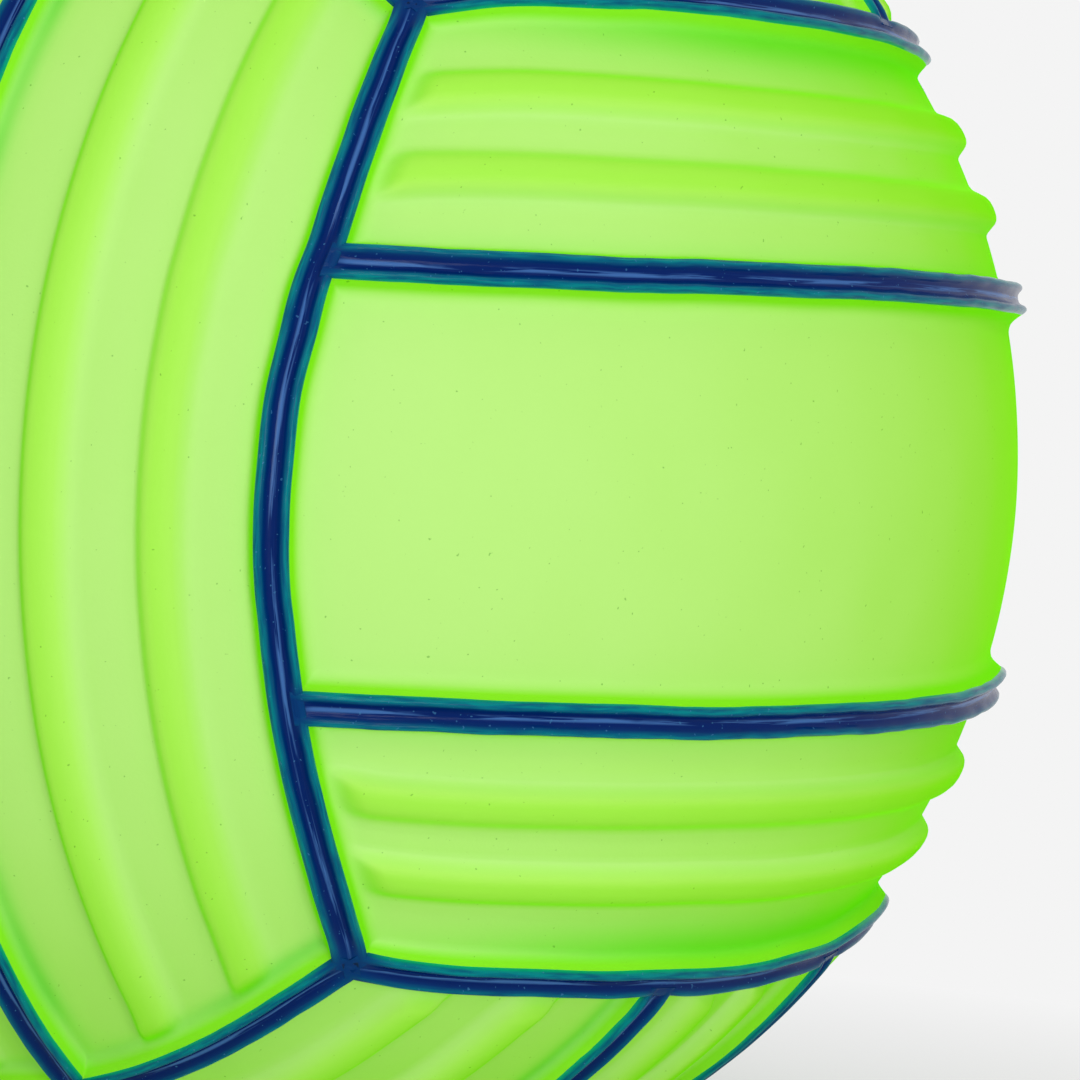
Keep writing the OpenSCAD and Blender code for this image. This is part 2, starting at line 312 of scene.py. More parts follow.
def end_distance(parts, end):
    """Distance of a point of a group from the middle of the seam at one end of the group, in millimetres."""
    lat = np.arcsin(np.clip(parts[..., 0], -1, 1))
    az = np.arctan2(parts[..., 2], end * parts[..., 1])
    return BALL_R * (lat - edge_lat(az))


def solve_az(lat_at, distance, end):
    """Azimuths at which a line of a group comes within a distance of the seam at one end."""
    near = np.zeros(np.broadcast(lat_at(0.0), distance).shape)
    far = near + SOLVE_REACH
    for _ in range(SOLVE_STEPS):
        middle = (near + far) / 2
        inside = end_distance(unit(lat_at(end * middle), end * middle), end) > distance
        near = np.where(inside, middle, near)
        far = np.where(inside, far, middle)
    return end * (near + far) / 2


def smooth_step(value):
    value = np.clip(value, 0, 1)
    return value * value * (3 - 2 * value)


def in_row_frame(parts, group):
    outward, along, across = (np.array(axis, float) for axis in GROUPS[group][:3])
    return parts[..., 0:1] * outward + parts[..., 1:2] * along + parts[..., 2:3] * across


def smooth_noise(points, scale, seed):
    """Smooth noise between about -1 and 1 from a few waves in seeded directions."""
    local = np.random.default_rng(seed)
    value = np.zeros(points.shape[:-1])
    for _ in range(NOISE_WAVES):
        direction = local.normal(size=3)
        direction /= np.linalg.norm(direction)
        pitch = local.uniform(*NOISE_PITCH_SHARES)
        turn = local.uniform(0, NOISE_TURN)
        value += np.sin(points @ direction * (2 * math.pi / scale) * pitch + turn)
    return value / NOISE_FULL


def nearness(values, places, reach):
    """Shares of the places for each value, largest for the nearest ones."""
    away = (np.asarray(values)[..., None] - np.asarray(places, float)) / reach
    weight = np.exp(-away ** 2 + (away ** 2).min(-1, keepdims=True))
    return weight / weight.sum(-1, keepdims=True)


def drifted(points):
    """Points of the ball moved as its seams and ribs lie off the regular layout."""
    size = np.linalg.norm(points, axis=-1)
    lat = np.degrees(np.arcsin(points[..., 2] / size))
    az = np.degrees(np.arctan2(points[..., 1], points[..., 0]))
    rows = nearness(lat, list(DRIFT_NORTH), DRIFT_REACH_LAT)
    columns = nearness(az, DRIFT_AZ, DRIFT_REACH_AZ)
    north = np.einsum("...i,ij,...j->...", rows, np.array(list(DRIFT_NORTH.values()), float), columns)
    east = nearness(lat, list(DRIFT_EAST), DRIFT_REACH_LAT) @ np.array(list(DRIFT_EAST.values()), float)
    east = east * np.exp(-((az - DRIFT_EAST_AT) / DRIFT_EAST_REACH) ** 2)
    new_lat = np.radians(lat + north)
    new_az = np.radians(az + east / np.maximum(np.cos(np.radians(lat)), DRIFT_MIN_COS))
    flat = size * np.cos(new_lat)
    return np.stack([flat * np.cos(new_az), flat * np.sin(new_az), size * np.sin(new_lat)], -1)


# Panels

def rim_height(off, profile):
    return np.interp(off, [p[0] for p in profile], [p[1] for p in profile])


def panel_rows(kind, row):
    """Rows across a panel from its lower side, as (share of the way, distance added in millimetres)."""
    half = inner_lat(kind)
    if row == 0:
        width = 2 * half * BALL_R
        ribs = [] if kind == "wide" else [0.5 - MIDDLE_RIB_SHARE / 2, 0.5 + MIDDLE_RIB_SHARE / 2]
    else:
        width = (edge_lat(0) - half) * BALL_R
        ribs = RIB_SHARES[kind]
    side_offsets = [WALL_HALF + off for off in END_OFFSETS if off <= SIDE_OFFSETS_TO]
    rows = [(0, off) for off in side_offsets] + [(1, -off) for off in side_offsets]
    for share in ribs:
        way = -1 if row == 0 and share < 0.5 else 1
        rows += [(share, way * off) for off, _ in RIB]
    last = max(side_offsets)
    places = [share * width + off for share, off in rows]
    for place in np.arange(last, width - last, ROW_STEP):
        if min(abs(place - other) for other in places) > ROW_GAP:
            rows.append((place / width, 0))
    rows.sort(key=lambda item: item[0] * width + item[1])
    return rows, ribs


def panel_sides(kind, row):
    """Latitudes of a panel's lower and upper sides, as functions of the azimuth. Rows -1 and 1 are alike."""
    half = inner_lat(kind)
    if row == 0:
        return lambda az: -half + 0 * az, lambda az: half + 0 * az
    return lambda az: half + 0 * az, edge_lat


def panel_grid(kind, row, rows):
    """Latitudes and azimuths of a panel's points, rows across by columns along."""
    lower_lat, upper_lat = panel_sides(kind, row)
    shares = np.array([item[0] for item in rows])[:, None]
    adds = np.array([item[1] for item in rows])[:, None] / BALL_R

    def lat_at(az):
        lat = lower_lat(az) + shares * (upper_lat(az) - lower_lat(az)) + adds
        return lat if row >= 0 else -lat

    offsets = np.array([WALL_HALF + off for off in END_OFFSETS])[None, :]
    start = solve_az(lat_at, offsets, -1)
    stop = solve_az(lat_at, offsets, 1)[:, ::-1]
    inner_share = np.linspace(0, 1, PANEL_COLUMNS)[1:-1][None, :]
    middle = start[:, -1:] + inner_share * (stop[:, :1] - start[:, -1:])
    az = np.concatenate([start, middle, stop], axis=1)
    return lat_at(az), az


def panel_ribs(row, ribs, lower, upper, lat):
    """Heights of a panel's ribs between its sides, and how much of their flanks' colour shows."""
    height = np.zeros_like(lat)
    flank = np.zeros_like(lat)
    for share in ribs:
        way = -1 if row == 0 and share < 0.5 else 1
        off = way * BALL_R * (lat - (lower + share * (upper - lower)))
        height = np.maximum(height, rim_height(off, RIB))
        rise = rim_height(off + FLANK_STEP, RIB) - rim_height(off - FLANK_STEP, RIB)
        flank = np.maximum(flank, np.clip(np.abs(rise) / (2 * FLANK_STEP * FLANK_SLOPE), 0, 1))
    return height, flank


def panel_shape(group, row):
    """Grids of points of a panel's outside and inside, rows across by columns along, and colour values."""
    kind = GROUPS[group][3]
    rows, ribs = panel_rows(kind, row)
    lat, az = panel_grid(kind, row, rows)
    parts = unit(lat, az)
    outward = in_row_frame(parts, group)

    flat_lat = np.abs(lat) if row != 0 else lat
    lower, upper = (side(az) for side in panel_sides(kind, row))
    off_low = BALL_R * (flat_lat - lower) - WALL_HALF
    off_high = BALL_R * (upper - flat_lat) - WALL_HALF
    off_start = end_distance(parts, -1) - WALL_HALF
    off_stop = end_distance(parts, 1) - WALL_HALF
    side_profile = RIM if row == 0 else STEEP_RIM
    side_rim = np.maximum(rim_height(off_low, side_profile), rim_height(off_high, side_profile))
    end_rim = np.maximum(rim_height(off_start, RIM), rim_height(off_stop, RIM))
    rim = np.maximum(side_rim, end_rim)

    risen = smooth_step((np.minimum(off_start, off_stop) - RIB_END_FROM) / (RIB_END_TO - RIB_END_FROM))
    rib, flank = (values * risen for values in panel_ribs(row, ribs, lower, upper, flat_lat))
    edge_off = np.maximum(np.minimum.reduce([off_low, off_high, off_start, off_stop]), 0)
    inward = 1 - np.exp(-edge_off / UNEVEN_RUN)
    unevenness = UNEVEN_H * smooth_noise(outward * BALL_R, UNEVEN_PERIOD, UNEVEN_SEED) * inward
    height = rim + rib + unevenness - FIELD_DROP

    relief = np.clip(rib / RIB_TOP, 0, 1)
    slope = np.clip(rim / SLOPE_TOP, 0, 1)
    # A middle panel has neither foot nor band along its sides, so they count as far away
    low_foot, far_side = (off_low, off_high) if row != 0 else (BALL_R, BALL_R)
    nearest = np.minimum(np.minimum(low_foot, off_start + START_FOOT_SHIFT), off_stop)
    # Painted shade at the feet of the rims
    foot = FOOT_SHARES[kind] * np.exp(-(np.maximum(nearest - FOOT_AT, 0) / FOOT_REACH) ** 2) * (1 - slope)
    # Painted shade in a band along the far sides, growing with the azimuth
    band = np.exp(-(np.maximum(far_side - FOOT_AT, 0) / BAND_REACH) ** 2) * (kind == "wide")
    band = band * smooth_step((np.degrees(az) - BAND_FROM) / BAND_RAMP)
    points = outward * (BALL_R + height)[..., None]
    inside = outward * (BALL_R - COVER_T)
    return points, inside, {"relief": relief, "flank": flank, "slope": slope, "foot": foot, "band": band}


def add_mesh(name, vertices, faces, values, material):
    mesh = bpy.data.meshes.new(name)
    mesh.from_pydata([tuple(v) for v in drifted(vertices) * MM], [], faces)
    for key, data in values.items():
        layer = mesh.attributes.new(key, "FLOAT", "POINT")
        layer.data.foreach_set("value", np.asarray(data, np.float32))
    mesh.polygons.foreach_set("use_smooth", [True] * len(mesh.polygons))
    mesh.materials.append(material)
    mesh.validate()
    mesh.update()
    mesh.set_sharp_from_angle(angle=SHARP_ANGLE)
    piece = bpy.data.objects.new(name, mesh)
    bpy.context.scene.collection.objects.link(piece)
    return piece


def grid_faces(n_rows, n_cols, start, turned):
    faces = []
    for i in range(n_rows - 1):
        for j in range(n_cols - 1):
            a = start + i * n_cols + j
            b = a + 1
            c = b + n_cols
            d = a + n_cols
            faces.append((a, d, c, b) if turned else (a, b, c, d))
    return faces


def ring_of(n_rows, n_cols):
    top = list(range(n_cols))
    right = [i * n_cols + n_cols - 1 for i in range(1, n_rows)]
    bottom = [(n_rows - 1) * n_cols + j for j in range(n_cols - 2, -1, -1)]
    left = [i * n_cols for i in range(n_rows - 2, 0, -1)]
    return top + right + bottom + left


def faces_out(vertices, faces):
    """True if the first faces look away from the ball's centre."""
    total = 0
    for face in faces[:FACES_TRIED]:
        a, b, c = (vertices[k] for k in face[:3])
        total += np.dot(np.cross(b - a, c - a), a)
    return total > 0


def panel_faces(vertices, n_rows, n_cols):
    """Faces of a panel's outside and inside grids and of the walls between them."""
    count = n_rows * n_cols
    turned = not faces_out(vertices, grid_faces(n_rows, n_cols, 0, False))
    faces = grid_faces(n_rows, n_cols, 0, turned) + grid_faces(n_rows, n_cols, count, not turned)
    ring = ring_of(n_rows, n_cols)
    for a, b in zip(ring, ring[1:] + ring[:1]):
        faces.append((a, b, b + count, a + count) if turned else (b, a, a + count, b + count))
    return faces


def panel_piece(group, row, material):
    outside, inside, values = panel_shape(group, row)
    n_rows, n_cols = outside.shape[:2]
    vertices = np.concatenate([outside.reshape(-1, 3), inside.reshape(-1, 3)])
    both = {key: np.concatenate([data.ravel(), np.zeros(data.size)]) for key, data in values.items()}
    name = f"{group}_{GROUPS[group][4][row + 1]}_panel"
    piece = add_mesh(name + "_skin", vertices, panel_faces(vertices, n_rows, n_cols), both, material)
    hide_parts(name)
    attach(piece, "root")
    return piece


# Strips

def strip_profile():
    return STRIP + [(-w, h) for w, h in reversed(STRIP[:-1])]


def tee_share(sideways, run, tees):
    """Share to which a groove is filled where other strips join. Each of tees is the distance along the strip
    at which one joins, and the side that it comes from."""
    joined = np.zeros((len(run), len(sideways)))
    for tee, side in tees:
        near = np.exp(-(np.abs(run - tee) / TEE_REACH) ** TEE_SHARPNESS)
        joined = np.maximum(joined, near * smooth_step((side * sideways[None, :] - TEE_FROM) / TEE_RUN))
    return joined


def strip_faces(vertices, n_rows, n_cols):
    """Faces of a strip's grid, of its foot and of its two ends."""
    probe = PROBE_ROW * (n_cols - 1) + PROBE_COLUMN
    turned = not faces_out(vertices, grid_faces(n_rows, n_cols, 0, False)[probe:])
    faces = grid_faces(n_rows, n_cols, 0, turned)
    for i in range(n_rows - 1):
        start = i * n_cols
        stop = start + n_cols - 1
        quad = (start, start + n_cols, stop + n_cols, stop)
        faces.append(quad[::-1] if turned else quad)
    start_cap = tuple(range(n_cols))
    stop_cap = tuple((n_rows - 1) * n_cols + j for j in range(n_cols))
    faces.append(start_cap if turned else start_cap[::-1])
    faces.append(stop_cap[::-1] if turned else stop_cap)
    return faces


def sweep(name, node, at, length, trims, end_ramp, tees, material):
    """Sweeps a strip's profile. at(distance, sideways) gives unit vectors, trims(sideways) the two ends, and
    end_ramp the length over which the groove opens."""
    profile = strip_profile()
    sideways = np.array([p[0] for p in profile])
    heights = np.array([p[1] for p in profile])[None, :]
    first, last = trims(sideways)
    count = int(length / STRIP_STEP)
    shares = np.linspace(0, 1, count)[:, None]
    distance = first + shares * (last - first)
    run = distance.mean(1, keepdims=True)
    place = at(run, np.zeros((count, 1))) * BALL_R
    seed = sum(ord(letter) for letter in name)
    ripple = RIPPLE * smooth_noise(place, RIPPLE_PERIOD, seed + 1)
    wander = WANDER * smooth_noise(place, WANDER_PERIOD, seed) + ripple
    swell = SWELL * smooth_noise(place, SWELL_PERIOD, seed + 2)

    open_share = smooth_step(np.minimum(shares, 1 - shares) * length / end_ramp)
    closed = np.maximum(1 - open_share, tee_share(sideways, run, tees))
    inner = np.abs(sideways)[None, :] < GROOVE_HALF
    crest = heights > FILLED_H
    level = np.where(inner | crest, heights + (FILLED_H - heights) * closed, heights)
    level = level + LEVEL_WAVE * smooth_noise(place, LEVEL_PERIOD, seed + 3) * (heights > LEVEL_FROM)
    free = np.clip((heights - WANDER_FROM) / (WANDER_TO - WANDER_FROM), 0, 1)
    side_now = sideways[None, :] * (1 + swell * free) + wander * open_share * free
    points = at(distance, side_now) * (BALL_R + level)[..., None]

    values = {
        "along": run,
        "sideways": sideways[None, :],
        "across": np.abs(sideways)[None, :] / STRIP_HALF,
        "groove": smooth_step((GROOVE_FROM - level) / GROOVE_RUN) * inner,
        "lift": np.clip(level / LIFT_TOP, 0, 1),
        "closed": closed,
    }
    values = {key: np.broadcast_to(data, level.shape).ravel() for key, data in values.items()}
    vertices = points.reshape(-1, 3)
    piece = add_mesh(name, vertices, strip_faces(vertices, *level.shape), values, material)
    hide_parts(node)
    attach(piece, "root")


def edge_piece(edge, material):
    group, side = EDGES[edge]
    shares = np.linspace(-1, 1, EDGE_STEPS)
    parts = edge_points(shares)
    parts[:, 2] *= side
    line = in_row_frame(parts, group)
    steps = np.linalg.norm(np.diff(line, axis=0), axis=1) * BALL_R
    run = np.concatenate([[0], np.cumsum(steps)])
    length = run[-1]
    tangent = np.gradient(line, run, axis=0)
    tangent /= np.linalg.norm(tangent, axis=1, keepdims=True)
    lateral = np.cross(line, tangent)

    def at(distance, sideways):
        base = np.stack([np.interp(distance, run, line[:, k]) for k in range(3)], -1)
        side_way = np.stack([np.interp(distance, run, lateral[:, k]) for k in range(3)], -1)
        over = np.minimum(distance, 0) + np.maximum(distance - length, 0)
        ahead = np.stack([np.interp(distance, run, tangent[:, k]) for k in range(3)], -1)
        direction = base + (side_way * sideways[..., None] + ahead * over[..., None]) / BALL_R
        return direction / np.linalg.norm(direction, axis=-1, keepdims=True)

    def trims(sideways):
        mitre = np.abs(sideways) / math.sqrt(3) - MITRE_OVERLAP
        return mitre[None, :], length - mitre[None, :]

    beyond = side * np.array(GROUPS[group][2], float)
    other = next(name for name in GROUPS if np.allclose(GROUPS[name][0], beyond))
    joint_side = np.sign(lateral[EDGE_STEPS // 2] @ beyond)
    joint_along = math.sin(inner_lat(GROUPS[other][3]))
    tees = [(float(np.interp(way * joint_along, parts[:, 1], run)), joint_side) for way in (-1, 1)]
    node = edge + "_edge_strip"
    sweep(node + "_bead", node, at, length, trims, CORNER_RAMP, tees, material)


def inner_piece(group, row, material):
    kind = GROUPS[group][3]
    base_lat = row * inner_lat(kind)
    radius = BALL_R * math.cos(base_lat)

    def at(distance, sideways):
        az = distance / radius - INNER_REACH
        lat = base_lat + sideways / BALL_R
        return in_row_frame(unit(lat, az), group)

    def trims(sideways):
        lat = base_lat + sideways / BALL_R
        cut = np.full_like(sideways, STRIP_HALF - TEE_OVERLAP)
        start = solve_az(lambda az: lat + 0 * az, cut, -1)
        stop = solve_az(lambda az: lat + 0 * az, cut, 1)
        return (start + INNER_REACH)[None, :] * radius, (stop + INNER_REACH)[None, :] * radius

    node = f"{group}_{GROUPS[group][4][row + 1]}_inner_strip"
    length = 2 * INNER_REACH * radius * INNER_LENGTH_SHARE
    sweep(node + "_bead", node, at, length, trims, TEE_RAMP, [], material)


# Materials

def new_material(name):
    material = bpy.data.materials.new(name)
    material.use_nodes = True
    nodes = material.node_tree.nodes
    nodes.clear()
    output = nodes.new("ShaderNodeOutputMaterial")
    shader = nodes.new("ShaderNodeBsdfPrincipled")
    material.node_tree.links.new(shader.outputs[0], output.inputs[0])
    return material, nodes, material.node_tree.links, shader


def linear(colour):
    """Linear colour of red, green and blue given as sRGB bytes, 0 to 255."""
    def one(value):
        value /= 255
        return value / 12.92 if value <= 0.04045 else ((value + 0.055) / 1.055) ** 2.4
    return (*(one(value) for value in colour), 1)


def grey(value):
    return (value, value, value, 1)


def attribute(nodes, name):
    node = nodes.new("ShaderNodeAttribute")
    node.attribute_name = name
    return node.outputs["Fac"]


def noise(nodes, links, scale, detail=3, roughness=0.5):
    place = nodes.new("ShaderNodeTexCoord")
    node = nodes.new("ShaderNodeTexNoise")
    node.inputs["Scale"].default_value = scale
    node.inputs["Detail"].default_value = detail
    node.inputs["Roughness"].default_value = roughness
    links.new(place.outputs["Object"], node.inputs["Vector"])
    return node.outputs["Fac"]


def fade(nodes, links, value, start, stop, low=0, high=1):
    """Grey that goes from low to high while the value goes from start to stop."""
    node = nodes.new("ShaderNodeValToRGB")
    links.new(value, node.inputs["Fac"])
    for element, place, tone in zip(node.color_ramp.elements, (start, stop), (low, high)):
        element.position = place
        element.color = grey(tone)
    return node.outputs["Color"]


def mix(nodes, links, factor, first, second):
    node = nodes.new("ShaderNodeMix")
    node.data_type = "RGBA"
    for socket, value in (("Factor", factor), ("A", first), ("B", second)):
        coloured = socket != "Factor"
        target = next(s for s in node.inputs if s.name == socket and (s.type == "RGBA") == coloured)
        if hasattr(value, "is_output"):
            links.new(value, target)
        else:
            target.default_value = value
    return next(s for s in node.outputs if s.type == "RGBA")


def math_node(nodes, links, operation, first, second=0.0, clamp=False):
    node = nodes.new("ShaderNodeMath")
    node.operation = operation
    node.use_clamp = clamp
    for socket, value in zip(node.inputs, (first, second)):
        if hasattr(value, "is_output"):
            links.new(value, socket)
        else:
            socket.default_value = value
    return node.outputs[0]


def times(nodes, links, first, second):
    return math_node(nodes, links, "MULTIPLY", first, second)


def bump(nodes, links, height, strength, distance):
    """Normals roughened by a height. The distance is in millimetres."""
    node = nodes.new("ShaderNodeBump")
    node.inputs["Strength"].default_value = strength
    node.inputs["Distance"].default_value = distance * MM
    links.new(height, node.inputs["Height"])
    return node.outputs["Normal"]


def set_inputs(shader, values):
    for name, value in values.items():
        shader.inputs[name].default_value = value


def strip_streaks(nodes, links, scale_along, scale_across):
    """Noise drawn out along a strip, from the distances along and across it in millimetres."""
    along = times(nodes, links, attribute(nodes, "along"), scale_along)
    across = times(nodes, links, attribute(nodes, "sideways"), scale_across)
    place = nodes.new("ShaderNodeCombineXYZ")
    links.new(along, place.inputs["X"])
    links.new(across, place.inputs["Y"])
    node = nodes.new("ShaderNodeTexNoise")
    node.inputs["Scale"].default_value = 1
    node.inputs["Detail"].default_value = 4
    links.new(place.outputs["Vector"], node.inputs["Vector"])
    return node.outputs["Fac"]


def panel_colour(nodes, links):
    """Pale where the rubber is thin, deeper on ribs and rims, painted shade at the rims' feet, and fine pits.
    """
    cloud = fade(nodes, links, noise(nodes, links, scale=26, detail=2), start=0.3, stop=0.7)
    field = mix(nodes, links, cloud, linear(FIELD), linear(FIELD_CLOUD))
    # Painted shade: a deeper green band along the far sides, growing with the azimuth
    band_share = times(nodes, links, attribute(nodes, "band"), BAND_SHARE)
    shade_banded = mix(nodes, links, band_share, field, linear(SHADE_BAND_GREEN))
    ribbed = mix(nodes, links, attribute(nodes, "relief"), shade_banded, linear(RIB_GREEN))
    # Painted light: the ribs' flanks are made paler against their shade
    flank_share = times(nodes, links, attribute(nodes, "flank"), FLANK_SHARE)
    flank_lit = mix(nodes, links, flank_share, ribbed, linear(FLANK_PAINTED_LIGHT))
    rimmed = mix(nodes, links, attribute(nodes, "slope"), flank_lit, linear(RIM_GREEN))
    uneven = fade(nodes, links, noise(nodes, links, scale=30, detail=2), start=0.35, stop=0.65, low=0.35)
    # Painted shade at the feet of the rims, uneven along them
    foot_shade_share = times(nodes, links, attribute(nodes, "foot"), uneven)
    shaded = mix(nodes, links, foot_shade_share, rimmed, linear(FOOT_SHADE_GREEN))
    pits = fade(nodes, links, noise(nodes, links, scale=1500, detail=1), start=0.2, stop=0.235, low=1, high=0)
    return mix(nodes, links, times(nodes, links, pits, PIT_SHARE), shaded, linear(PIT_GREEN))


def panel_material():
    """Translucent neon rubber over a pale backing, with a tinted clear skin."""
    material, nodes, links, shader = new_material("neon_panel_rubber")
    links.new(panel_colour(nodes, links), shader.inputs["Base Color"])
    patches = noise(nodes, links, scale=60, detail=4)
    rough = fade(nodes, links, patches, start=0.3, stop=0.7, low=0.5, high=0.6)
    links.new(rough, shader.inputs["Roughness"])
    grain = noise(nodes, links, scale=1400, detail=3, roughness=0.6)
    links.new(bump(nodes, links, grain, strength=0.06, distance=PANEL_GRAIN_H), shader.inputs["Normal"])
    set_inputs(shader, {
        "IOR": 1.4,
        "Specular IOR Level": 0.03,
        "Sheen Weight": 1,
        "Sheen Roughness": 0.5,
        "Sheen Tint": linear(SHEEN_GREEN),
        "Coat Weight": 1,
        "Coat IOR": 1.02,
        "Coat Roughness": 0.5,
    })
    tint = mix(nodes, links, attribute(nodes, "relief"), TINT_FIELD, TINT_RIB)
    # The flanks' paler tint is painted light too
    tint = mix(nodes, links, attribute(nodes, "flank"), tint, TINT_FLANK)
    links.new(tint, shader.inputs["Coat Tint"])
    return material


def strip_colour(nodes, links, streak):
    """Navy paint, thin and teal along the outer edges of the lips, with a painted glare highlight along the
    groove.
    """
    across = attribute(nodes, "across")
    patch = noise(nodes, links, scale=90, detail=4, roughness=0.6)
    glare_noise = strip_streaks(nodes, links, scale_along=0.06, scale_across=1.4)
    navy = mix(nodes, links, patch, linear(NAVY_DARK), linear(NAVY_LIGHT))
    deep = mix(nodes, links, attribute(nodes, "groove"), navy, linear(GROOVE_NAVY))
    unfilled = math_node(nodes, links, "SUBTRACT", 1, attribute(nodes, "closed"))
    outer = times(nodes, links, fade(nodes, links, across, start=0.48, stop=0.84), unfilled)
    worn = fade(nodes, links, streak, start=0.36, stop=0.6, low=0.4)
    lip = mix(nodes, links, times(nodes, links, outer, worn), deep, linear(LIP_TEAL))
    wall = fade(nodes, links, attribute(nodes, "lift"), start=0.66, stop=0.86, low=1, high=0)
    edged = mix(nodes, links, times(nodes, links, wall, outer), lip, linear(WALL_TEAL))
    bottom = fade(nodes, links, across, start=0.06, stop=0.2, low=1, high=0)
    # Painted highlight: a pale glare line along the bottom of the groove, broken up by noise
    pale = times(nodes, links, bottom, fade(nodes, links, glare_noise, start=0.46, stop=0.54, high=0.8))
    glare_painted = mix(nodes, links, times(nodes, links, pale, unfilled), edged, linear(GLARE_HIGHLIGHT_BLUE))
    fine = fade(nodes, links, noise(nodes, links, scale=1700, detail=1), start=0.72, stop=0.76, high=0.6)
    return mix(nodes, links, times(nodes, links, fine, unfilled), glare_painted, linear(SCUFF_BLUE))


def strip_material():
    """Smooth painted rubber of the raised strips."""
    material, nodes, links, shader = new_material("navy_strip_rubber")
    streak = strip_streaks(nodes, links, scale_along=0.22, scale_across=2.6)
    links.new(strip_colour(nodes, links, streak), shader.inputs["Base Color"])
    patches = noise(nodes, links, scale=150, detail=4)
    rough = fade(nodes, links, patches, start=0.3, stop=0.7, low=0.14, high=0.26)
    links.new(rough, shader.inputs["Roughness"])
    links.new(bump(nodes, links, streak, strength=0.2, distance=FINE_GRAIN_H), shader.inputs["Normal"])
    set_inputs(shader, {"Specular IOR Level": 0.06})
    return material


def plain_rubber(name, tone, darker, roughness):
    material, nodes, links, shader = new_material(name)
    shade = mix(nodes, links, noise(nodes, links, scale=120, detail=4), linear(tone), linear(darker))
    links.new(shade, shader.inputs["Base Color"])
    low = roughness - ROUGHNESS_SPREAD
    high = roughness + ROUGHNESS_SPREAD
    patches = noise(nodes, links, scale=300, detail=3)
    rough = fade(nodes, links, patches, start=0.3, stop=0.7, low=low, high=high)
    links.new(rough, shader.inputs["Roughness"])
    grain = noise(nodes, links, scale=900, detail=3)
    links.new(bump(nodes, links, grain, strength=0.1, distance=FINE_GRAIN_H), shader.inputs["Normal"])
    return material


def thread_material():
    """Crossing turns of fine thread in cement."""
    material, nodes, links, shader = new_material("wound_thread")
    place = nodes.new("ShaderNodeTexCoord")
    heights = []
    for turn in THREAD_TURNS:
        mapping = nodes.new("ShaderNodeMapping")
        mapping.inputs["Rotation"].default_value = turn
        links.new(place.outputs["Object"], mapping.inputs["Vector"])
        wave = nodes.new("ShaderNodeTexWave")
        wave.inputs["Scale"].default_value = THREAD_SCALE
        wave.inputs["Distortion"].default_value = THREAD_DISTORTION
        links.new(mapping.outputs["Vector"], wave.inputs["Vector"])
        heights.append(wave.outputs["Fac"])
    top = math_node(nodes, links, "MAXIMUM", heights[0], heights[1])
    top = math_node(nodes, links, "MAXIMUM", top, heights[2])
    links.new(mix(nodes, links, top, linear(THREAD_SHADE), linear(THREAD_PALE)), shader.inputs["Base Color"])
    links.new(bump(nodes, links, top, strength=0.6, distance=FINE_GRAIN_H), shader.inputs["Normal"])
    set_inputs(shader, {"Roughness": 0.7})
    return material


# Valve

def set_material(node, material):
    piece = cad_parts[node]
    piece.data.materials.clear()
    piece.data.materials.append(material)


def cut_valve_hole(piece):
    """Opens the panel over the valve, on the left side of the ball."""
    bpy.context.view_layer.update()
    steps = VALVE_CUT_STEPS
    turns = [2 * math.pi * k / steps for k in range(steps)]
    ring = [(math.cos(turn), math.sin(turn)) for turn in turns]
    near = BALL_R / 2
    far = BALL_R + VALVE_CUT_REACH
    vertices = [(-x, VALVE_HOLE_R * a, VALVE_HOLE_R * b) for x in (near, far) for a, b in ring]
    faces = [tuple(range(steps)), tuple(range(steps, 2 * steps))[::-1]]
    faces += [(k, steps + k, steps + (k + 1) % steps, (k + 1) % steps) for k in range(steps)]
    mesh = bpy.data.meshes.new("valve_cutter")
    mesh.from_pydata([tuple(c * MM for c in v) for v in vertices], [], faces)
    cutter = bpy.data.objects.new("valve_cutter", mesh)
    bpy.context.scene.collection.objects.link(cutter)
    modifier = piece.modifiers.new("valve", "BOOLEAN")
    modifier.operation = "DIFFERENCE"
    modifier.solver = "EXACT"
    modifier.object = cutter
    bpy.context.view_layer.update()
    graph = bpy.context.evaluated_depsgraph_get()
    done = bpy.data.meshes.new_from_object(piece.evaluated_get(graph))
    piece.modifiers.clear()
    piece.data = done
    bpy.data.objects.remove(cutter)


# Surroundings

def add_area(name, at, size, power):
    lamp = bpy.data.lights.new(name, "AREA")
    lamp.shape = "DISK"
    lamp.size = size
    lamp.energy = power
    holder = bpy.data.objects.new(name, lamp)
    bpy.context.scene.collection.objects.link(holder)
    holder.location = Vector(at)
    holder.rotation_euler = (-Vector(at)).to_track_quat("-Z", "Y").to_euler()


def add_world():
    world = bpy.data.worlds.new("studio")
    bpy.context.scene.world = world
    world.use_nodes = True
    nodes = world.node_tree.nodes
    links = world.node_tree.links
    nodes.clear()
    output = nodes.new("ShaderNodeOutputWorld")
    shown = nodes.new("ShaderNodeBackground")
    shown.inputs["Color"].default_value = grey(BACKDROP_GREY)
    light = nodes.new("ShaderNodeBackground")
    light.inputs["Color"].default_value = grey(1)
    light.inputs["Strength"].default_value = WORLD_STRENGTH
    path = nodes.new("ShaderNodeLightPath")
    seen = math_node(nodes, links, "ADD", path.outputs["Is Camera Ray"], path.outputs["Is Glossy Ray"])
    seen = math_node(nodes, links, "ADD", seen, path.outputs["Is Transmission Ray"], clamp=True)
    blend = nodes.new("ShaderNodeMixShader")
    links.new(seen, blend.inputs[0])
    links.new(light.outputs[0], blend.inputs[1])
    links.new(shown.outputs[0], blend.inputs[2])
    links.new(blend.outputs[0], output.inputs[0])


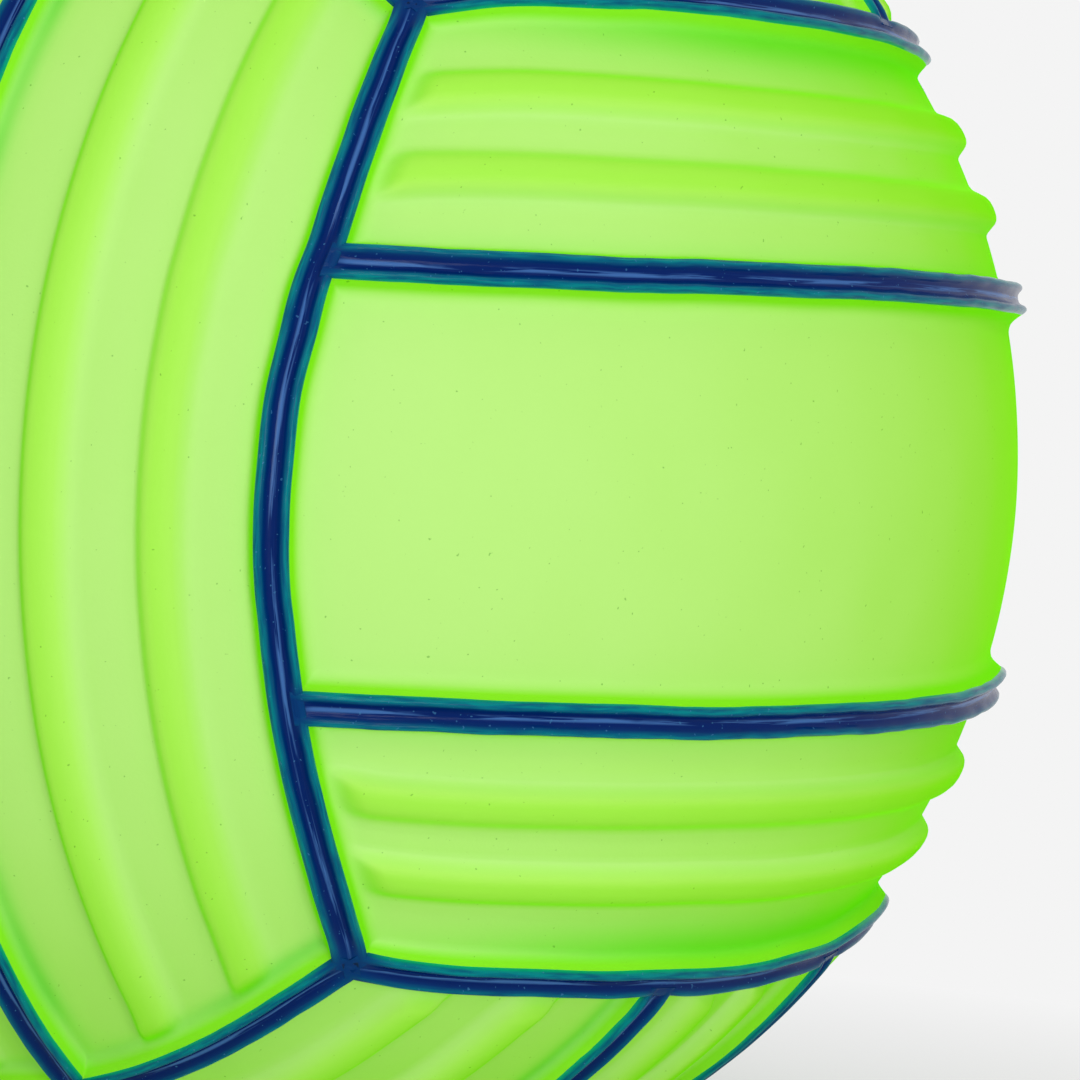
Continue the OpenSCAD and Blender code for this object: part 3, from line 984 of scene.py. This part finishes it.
def floor_material():
    """Pale floor that keeps the ball's shadow and runs out into the plain backdrop."""
    material = bpy.data.materials.new("pale_floor")
    material.use_nodes = True
    nodes = material.node_tree.nodes
    links = material.node_tree.links
    nodes.clear()
    output = nodes.new("ShaderNodeOutputMaterial")
    matte = nodes.new("ShaderNodeBsdfDiffuse")
    matte.inputs["Color"].default_value = grey(FLOOR_GREY)
    plain = nodes.new("ShaderNodeEmission")
    plain.inputs["Color"].default_value = grey(BACKDROP_GREY)
    place = nodes.new("ShaderNodeTexCoord")
    length = nodes.new("ShaderNodeVectorMath")
    length.operation = "LENGTH"
    links.new(place.outputs["Object"], length.inputs[0])
    far = fade(nodes, links, length.outputs["Value"], FLOOR_PLAIN_FROM, FLOOR_PLAIN_TO, low=FLOOR_NEAR_SHARE)
    path = nodes.new("ShaderNodeLightPath")
    rays = [path.outputs["Is Camera Ray"], path.outputs["Is Glossy Ray"]]
    seen = math_node(nodes, links, "ADD", *rays, clamp=True)
    blend = nodes.new("ShaderNodeMixShader")
    links.new(times(nodes, links, seen, far), blend.inputs[0])
    links.new(matte.outputs[0], blend.inputs[1])
    links.new(plain.outputs[0], blend.inputs[2])
    links.new(blend.outputs[0], output.inputs[0])
    return material


def add_floor():
    corners = [(-FLOOR_HALF, -FLOOR_HALF, 0), (FLOOR_HALF, -FLOOR_HALF, 0),
               (FLOOR_HALF, FLOOR_HALF, 0), (-FLOOR_HALF, FLOOR_HALF, 0)]
    mesh = bpy.data.meshes.new("floor")
    mesh.from_pydata(corners, [], [(0, 1, 2, 3)])
    mesh.materials.append(floor_material())
    floor = bpy.data.objects.new("floor", mesh)
    floor.location = (0, 0, FLOOR_Z * MM)
    bpy.context.scene.collection.objects.link(floor)


def add_camera():
    camera = bpy.data.cameras.new("camera")
    camera.lens = LENS
    camera.sensor_width = SENSOR
    camera.clip_start = CLIP_START
    holder = bpy.data.objects.new("camera", camera)
    bpy.context.scene.collection.objects.link(holder)
    at = Vector(CAMERA_AT) * MM
    back = (at - Vector(CAMERA_AIM) * MM).normalized()
    right = Vector(CAMERA_UP).cross(back).normalized()
    up = back.cross(right)
    turn = Matrix((right, up, back)).transposed().to_4x4()
    holder.matrix_world = Matrix.Translation(at) @ turn
    bpy.context.scene.camera = holder


def add_lights():
    for name, (at, size, power) in LAMPS.items():
        add_area(name, at, size, power)


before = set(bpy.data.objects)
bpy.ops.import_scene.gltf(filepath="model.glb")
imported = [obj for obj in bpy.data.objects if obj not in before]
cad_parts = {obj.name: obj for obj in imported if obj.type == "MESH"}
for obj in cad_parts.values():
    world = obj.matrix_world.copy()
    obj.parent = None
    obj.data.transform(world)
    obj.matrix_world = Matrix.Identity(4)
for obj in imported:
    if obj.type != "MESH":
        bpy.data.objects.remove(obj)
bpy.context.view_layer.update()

add_camera()
panel_rubber = panel_material()
strip_rubber = strip_material()
for group_name in GROUPS:
    for row_way in (-1, 0, 1):
        made = panel_piece(group_name, row_way, panel_rubber)
        if group_name == "left" and row_way == 0:
            cut_valve_hole(made)
    for row_way in (-1, 1):
        inner_piece(group_name, row_way, strip_rubber)
for edge_name in EDGES:
    edge_piece(edge_name, strip_rubber)

set_material("thread_winding", thread_material())
for node_name, (material_name, tone, darker_tone, node_roughness) in PLAIN_RUBBERS.items():
    set_material(node_name, plain_rubber(material_name, tone, darker_tone, node_roughness))

add_world()
add_lights()
add_floor()
bpy.context.scene.view_settings.view_transform = "Standard"
